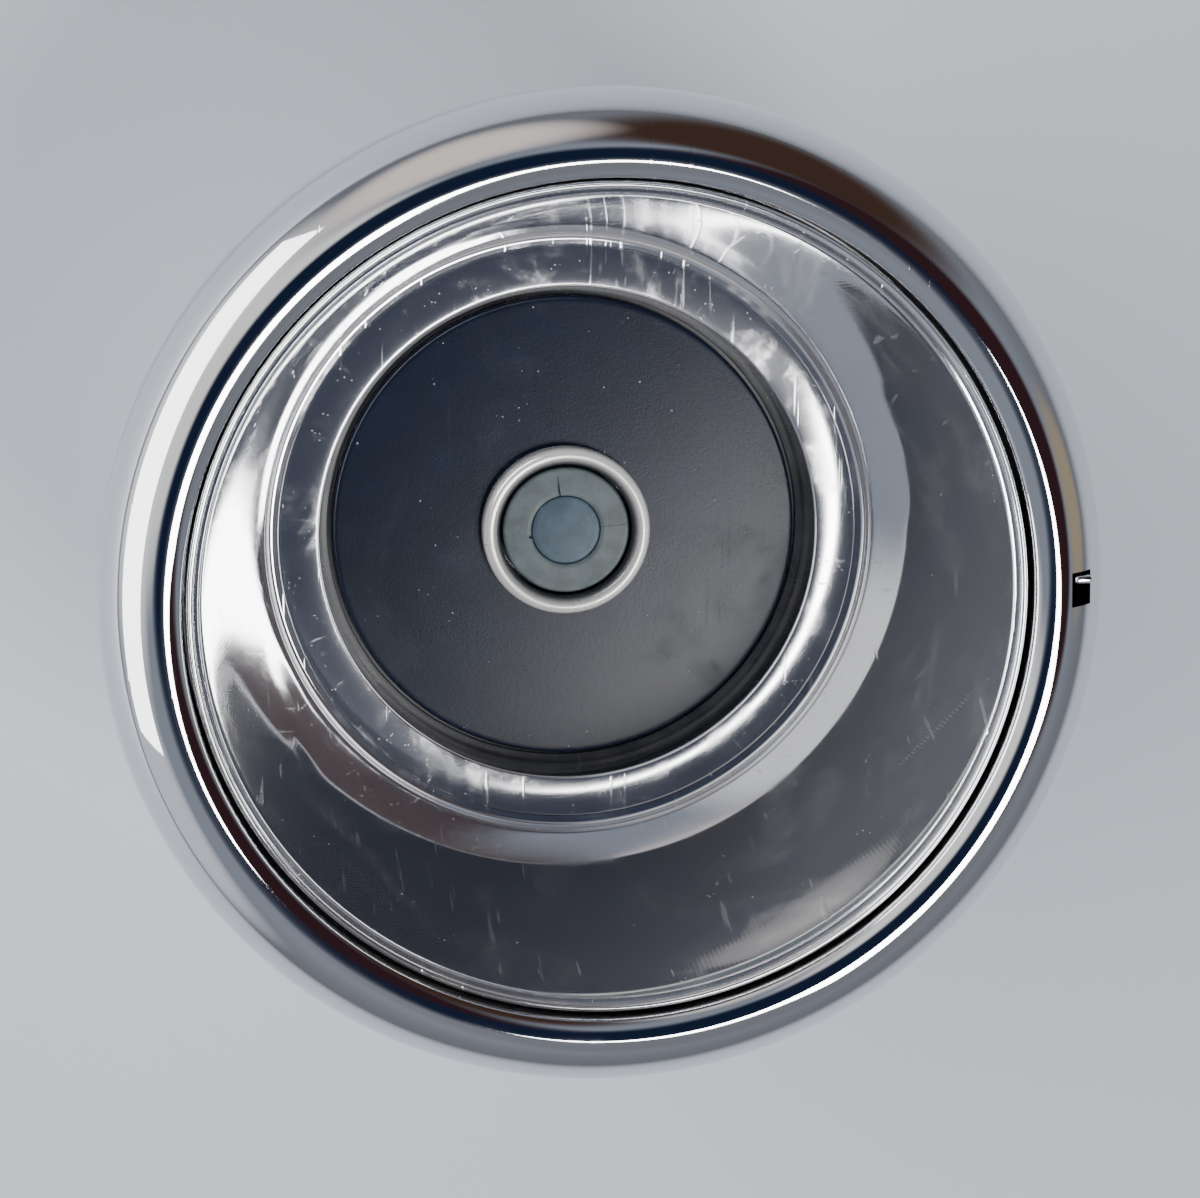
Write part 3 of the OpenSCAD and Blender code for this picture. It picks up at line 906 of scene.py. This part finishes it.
class ASHTRAY_OT_button(bpy.types.Operator):
    """Turns the grey button with its cracks, and the pin that it turns on"""
    bl_idname = "ashtray.button"
    bl_label = "Button and pin"

    def execute(self, context):
        s = sizes()
        low, top = foot_of("button"), top_of("button")
        edge = radius_of("button")
        bore = s.pin + 0.05 * MM
        section = [(bore, low), (edge - 0.1 * MM, low), (edge, low + 0.1 * MM)]
        section += arc(edge - 0.3 * MM, top - 0.3 * MM, 0.3 * MM, 0.3 * MM, 0, 86, 8)
        section += line((edge - 0.5 * MM, top), (bore + 0.12 * MM, top), 6)
        section += [(bore + 0.03 * MM, top - 0.04 * MM), (bore, top - 0.14 * MM)]
        button = turned("grey_button", section, 192, smooth=40)
        for angle, length, width in CRACKS:
            cut_away(button, (bore - 0.3 * MM, -width / 2 * MM, top - 0.45 * MM),
                     (bore + length * MM, width / 2 * MM, top + MM), math.radians(angle))
        dress(button, material_plastic("button_plastic", colours().button, 26.0))
        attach(button, "button_body")
        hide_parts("button")

        low, top = foot_of("pivot_pin"), top_of("pivot_pin")
        neck = 2.6 * MM
        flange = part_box("pivot_pin")[1][0]
        flange_top = foot_of("button") - 0.3 * MM
        section = [(0, low), (neck - 0.3 * MM, low), (neck, low + 0.3 * MM),
                   (neck, flange_top - MM), (flange, flange_top - MM), (flange, flange_top),
                   (s.pin, flange_top)]
        section += arc(s.pin - 0.25 * MM, top - 0.3 * MM, 0.25 * MM, 0.25 * MM, 0, 84, 8)
        section += arc(0, top - 0.12 * MM, s.pin - 0.3 * MM, 0.12 * MM, 30, 90, 8)[:-1]
        section += [(0, top)]
        pin = turned("pin_end", section, 128, smooth=40)
        dress(pin, material_plastic("pin_face_plastic", colours().pin, 34.0))
        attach(pin, "spinner")
        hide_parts("pivot_pin")
        return {"FINISHED"}


def rounded_box(low, high, edge):
    """A box between two corners with every edge rounded."""
    clear_selection()
    bpy.ops.mesh.primitive_cube_add(size=1, location=[(a + b) / 2 for a, b in zip(low, high)])
    box = bpy.context.object
    box.scale = [b - a for a, b in zip(low, high)]
    bpy.ops.object.transform_apply(location=True, rotation=True, scale=True)
    bpy.ops.object.mode_set(mode="EDIT")
    bpy.ops.mesh.select_all(action="SELECT")
    bpy.ops.mesh.bevel(offset=edge, segments=6)
    bpy.ops.object.mode_set(mode="OBJECT")
    return box


# two corners of the catch's runner, outwards and across, in millimetres
RUNNER = ((44.5, -2.7), (48.3, 2.8))


class ASHTRAY_OT_catch(bpy.types.Operator):
    """Makes the rounded thumb tab of the catch and the runner it stands on"""
    bl_idname = "ashtray.catch"
    bl_label = "Catch"

    def execute(self, context):
        s = sizes()
        low, top = foot_of("catch_tab"), top_of("catch_tab")
        gap, thick = 0.3 * MM, 0.8 * MM
        runner_top = low + 1.8 * MM
        back = s.slot_back - gap
        half = s.slot_w / 2 - gap
        near, far = [[place * MM for place in corner] for corner in RUNNER]
        runner = rounded_box((*near, low), (*far, runner_top), 0.2 * MM)
        tab = rounded_box((s.slot_x - half, back - thick, runner_top - MM),
                          (s.slot_x + half, back, top + 0.25 * MM), 0.32 * MM)
        clear_selection()
        runner.select_set(True)
        tab.select_set(True)
        bpy.context.view_layer.objects.active = tab
        bpy.ops.object.join()
        tab.rotation_euler = (0, 0, s.catch_at)
        piece = finish_piece("catch_bar", smooth=45)
        dress(piece, material_polished_chrome())
        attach(piece, "catch")
        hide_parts("catch_tab")
        return {"FINISHED"}


class ASHTRAY_OT_works(bpy.types.Operator):
    """Finishes the working parts under the plate, the gasket and the pad"""
    bl_idname = "ashtray.works"
    bl_label = "Working parts"

    def execute(self, context):
        steel = (0.46, 0.46, 0.47)
        dark = (0.30, 0.30, 0.31)
        brass = (0.62, 0.46, 0.18)
        finishes = {
            "support_ring": ("pressed_steel", steel, 0.3),
            "catch_guide": ("pressed_steel", steel, 0.3),
            "bridge": ("pressed_steel", steel, 0.3),
            "plate_hub": ("turned_steel", steel, 0.22),
            "twist_rod": ("turned_steel", steel, 0.22),
            "bridge_rivets": ("fastener_steel", steel, 0.26),
            "nut_screws": ("fastener_steel", steel, 0.26),
            "lock_washer": ("fastener_steel", steel, 0.26),
            "hub_nut": ("fastener_steel", steel, 0.26),
            "return_spring": ("spring_wire", dark, 0.28),
            "twist_nut": ("working_brass", brass, 0.25),
            "thrust_washer": ("working_brass", brass, 0.25),
        }
        for node, finish in finishes.items():
            dress(bpy.data.objects[node], material_plain_metal(*finish))
        dress(bpy.data.objects["base_pad"], material_rubber("foot_pad_rubber", 0.15))
        dress(bpy.data.objects["rim_gasket"], material_rubber("clean_rubber", 0.0))
        return {"FINISHED"}


# ---------------------------------------------------------------- stage

# the lens stands this far from the middle of the lip, leaning over towards one side
LENS_DISTANCE = 260.7 * MM
CAMERA_LEAN = math.radians(14.2)
CAMERA_SIDE = math.radians(121.8)

# width of the view at the lip, how far the lens is shifted in it, and the sensor's
# width in millimetres
VIEW_WIDTH = 120 * MM
SHIFT_ACROSS = -1.5 * MM / VIEW_WIDTH
SHIFT_UP = 1.0 * MM / VIEW_WIDTH
SENSOR = 36.0

HORIZON = (0.32, 0.33, 0.37, 1)
OVERHEAD = (0.44, 0.49, 0.58, 1)
SKY_STRENGTH = 0.68

# regions of the sky: bearing and height in degrees, radius of the core and of the
# faded edge in degrees, colour
SKY = (
    (165, 20, 16, 44, (1.9, 1.9, 1.92)),
    (215, 12, 10, 26, (1.2, 1.25, 1.4)),
    (-50, 50, 14, 36, (0.36, 0.37, 0.41)),
    (60, 26, 16, 34, (0.10, 0.055, 0.04)),
    (155, 56, 13, 27, (1.7, 1.7, 1.66)),
    (10, 56, 20, 32, (0.06, 0.025, 0.03)),
    (0, 14, 5, 16, (0.62, 0.52, 0.36)),
    (108, 26, 9, 26, (1.6, 1.42, 1.3)),
    (122, 86, 14, 27, (0.016, 0.028, 0.07)),
)


def soft_light(name, place, width, depth, power, colour):
    """An area light that faces the ashtray."""
    clear_selection()
    bpy.ops.object.light_add(type="AREA", location=place)
    lamp = bpy.context.object
    lamp.name = name
    lamp.data.shape = "RECTANGLE"
    lamp.data.size = width
    lamp.data.size_y = depth
    lamp.data.energy = power
    lamp.data.color = colour
    aim = Vector((0, 0, 60 * MM)) - Vector(place)
    lamp.rotation_mode = "QUATERNION"
    lamp.rotation_quaternion = aim.to_track_quat("-Z", "Y")


class ASHTRAY_OT_stage(bpy.types.Operator):
    """Lays the pale floor and sets the soft lights, the sky and the camera"""
    bl_idname = "ashtray.stage"
    bl_label = "Stage"

    def execute(self, context):
        clear_selection()
        bpy.ops.mesh.primitive_plane_add(size=4, location=(0, 0, 0))
        floor = bpy.context.object
        floor.name = "studio_floor"
        material, work, shader = blank_material("pale_floor")
        shader.inputs["Base Color"].default_value = (0.66, 0.72, 0.79, 1)
        shader.inputs["Roughness"].default_value = 0.7
        floor.data.materials.append(material)

        soft_light("window", (-0.80, 0.14, 0.36), 1.3, 0.44, 9.0, (1.0, 0.985, 0.96))
        soft_light("key", (0.217, -0.205, 0.68), 0.23, 0.23, 3.0, (1.0, 0.99, 0.97))
        self.sky(context)
        self.camera(context)
        return {"FINISHED"}

    def sky(self, context):
        """Soft surroundings: a smooth sky with a few broad bright and dark regions."""
        world = bpy.data.worlds.new("studio_sky")
        context.scene.world = world
        world.use_nodes = True
        tree = world.node_tree
        tree.nodes.clear()
        work = Nodes(tree)
        toward = work.add("ShaderNodeTexCoord").outputs["Generated"]
        split = work.add("ShaderNodeSeparateXYZ")
        work.join(toward, split.inputs["Vector"])
        rise = work.between(split.outputs["Z"], -0.02, 0.7)
        colour = work.blend(rise, HORIZON, OVERHEAD)
        for bearing, lift, core, fade, tone in SKY:
            flat, up = math.radians(bearing), math.radians(lift)
            aim = (math.cos(up) * math.cos(flat), math.cos(up) * math.sin(flat), math.sin(up))
            near = work.add("ShaderNodeVectorMath", operation="DOT_PRODUCT")
            work.join(toward, near.inputs[0])
            near.inputs[1].default_value = aim
            mask = work.between(near.outputs["Value"], math.cos(math.radians(fade)),
                                math.cos(math.radians(core)))
            colour = work.blend(mask, colour, (*tone, 1))
        light = work.add("ShaderNodeBackground")
        work.join(colour, light.inputs["Color"])
        light.inputs["Strength"].default_value = SKY_STRENGTH
        end = work.add("ShaderNodeOutputWorld")
        work.join(light.outputs["Background"], end.inputs["Surface"])

    def camera(self, context):
        """Above the mouth and leaning back a little, with its up side turned to +Y."""
        lip = Vector((0, 0, top_of("dish_liner") - BEAD_RISE))
        side = Vector((math.cos(CAMERA_SIDE), math.sin(CAMERA_SIDE), 0))
        back = Vector((0, 0, 1)) * math.cos(CAMERA_LEAN) + side * math.sin(CAMERA_LEAN)
        along = side * math.cos(CAMERA_LEAN) - Vector((0, 0, 1)) * math.sin(CAMERA_LEAN)
        across = Vector((0, 0, 1)).cross(side)
        right = along * math.cos(CAMERA_SIDE) - across * math.sin(CAMERA_SIDE)
        up = back.cross(right)
        bpy.ops.object.camera_add(location=lip + back * LENS_DISTANCE)
        camera = bpy.context.object
        camera.name = "studio_camera"
        turn = Matrix((right, up, back)).transposed()
        camera.rotation_mode = "QUATERNION"
        camera.rotation_quaternion = turn.to_quaternion()
        camera.data.sensor_width = SENSOR
        camera.data.lens = SENSOR * LENS_DISTANCE / VIEW_WIDTH
        camera.data.shift_x = SHIFT_ACROSS
        camera.data.shift_y = SHIFT_UP
        camera.data.clip_start = 0.01
        context.scene.camera = camera


# ---------------------------------------------------------------- panel and registration

class ASHTRAY_PT_panel(bpy.types.Panel):
    """Lists the sizes, colours and steps"""
    bl_label = "Ashtray"
    bl_idname = "ASHTRAY_PT_panel"
    bl_space_type = "VIEW_3D"
    bl_region_type = "UI"
    bl_category = "Ashtray"

    def draw(self, context):
        layout = self.layout
        for group in (context.scene.ashtray_sizes, context.scene.ashtray_colours):
            box = layout.box()
            for name in group.__annotations__:
                box.prop(group, name)
        for step in STEPS:
            layout.operator(step.bl_idname)


STEPS = (
    ASHTRAY_OT_stage,
    ASHTRAY_OT_bowl,
    ASHTRAY_OT_dish,
    ASHTRAY_OT_ledge,
    ASHTRAY_OT_plate,
    ASHTRAY_OT_collar,
    ASHTRAY_OT_button,
    ASHTRAY_OT_catch,
    ASHTRAY_OT_works,
)
CLASSES = (AshtraySizes, AshtrayColours, *STEPS, ASHTRAY_PT_panel)


def register():
    for cls in CLASSES:
        bpy.utils.register_class(cls)
    bpy.types.Scene.ashtray_sizes = PointerProperty(type=AshtraySizes)
    bpy.types.Scene.ashtray_colours = PointerProperty(type=AshtrayColours)


def unregister():
    del bpy.types.Scene.ashtray_colours
    del bpy.types.Scene.ashtray_sizes
    for cls in reversed(CLASSES):
        bpy.utils.unregister_class(cls)


def main():
    register()
    bpy.ops.ashtray.stage()
    bpy.ops.ashtray.bowl()
    bpy.ops.ashtray.dish()
    bpy.ops.ashtray.ledge()
    bpy.ops.ashtray.plate()
    bpy.ops.ashtray.collar()
    bpy.ops.ashtray.button()
    bpy.ops.ashtray.catch()
    bpy.ops.ashtray.works()
    clear_selection()


if __name__ == "__main__":
    main()
